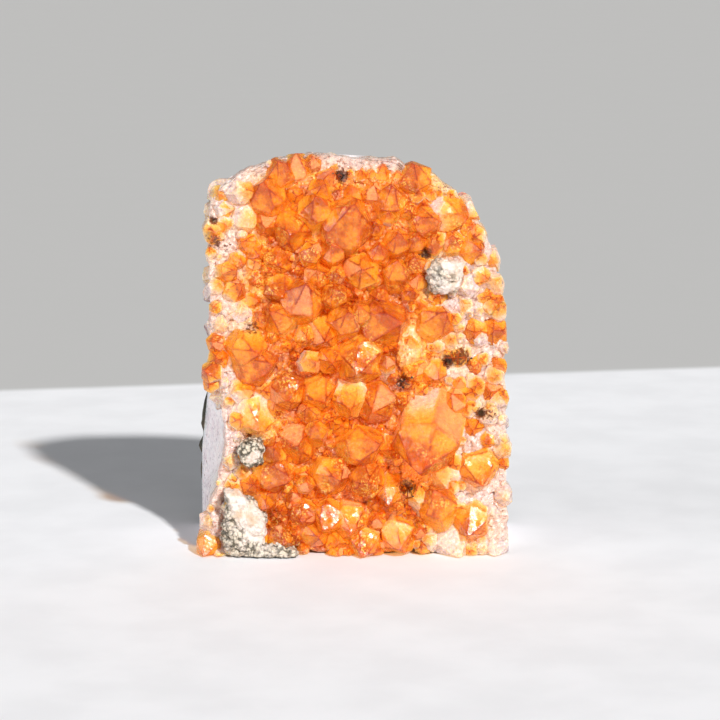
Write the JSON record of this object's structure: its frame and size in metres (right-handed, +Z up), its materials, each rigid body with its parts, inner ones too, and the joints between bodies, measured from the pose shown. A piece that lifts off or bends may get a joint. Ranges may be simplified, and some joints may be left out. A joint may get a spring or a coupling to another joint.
{
  "type": "citrine crystal cluster",
  "caption": "Upright citrine druse on a flat sawn base: orange quartz points over a pale quartz slab with a dark rock rind behind and small calcite crusts.",
  "frame": {"origin": "on the flat base, under the middle of the whole cluster's box", "axes": "+Z up from the flat base to the rounded top, +Y from the crystal front to the rock back, +X to the right seen from the front"},
  "size_m": [0.0882, 0.0564, 0.1126],
  "materials": {
    "citrine": "clear to cloudy orange quartz, natural bright faces",
    "quartz": "pale cloudy quartz, sawn",
    "basalt": "dark rough rock, sawn at the sides",
    "calcite": "cream grainy calcite with grey specks"
  },
  "bodies": {
    "root": {"citrine_crystals": "citrine", "quartz_bed": "quartz", "basalt_rind": "basalt", "calcite_crust_low": "calcite", "calcite_crust_mid": "calcite", "calcite_crust_high": "calcite"}
  },
  "joints": []
}
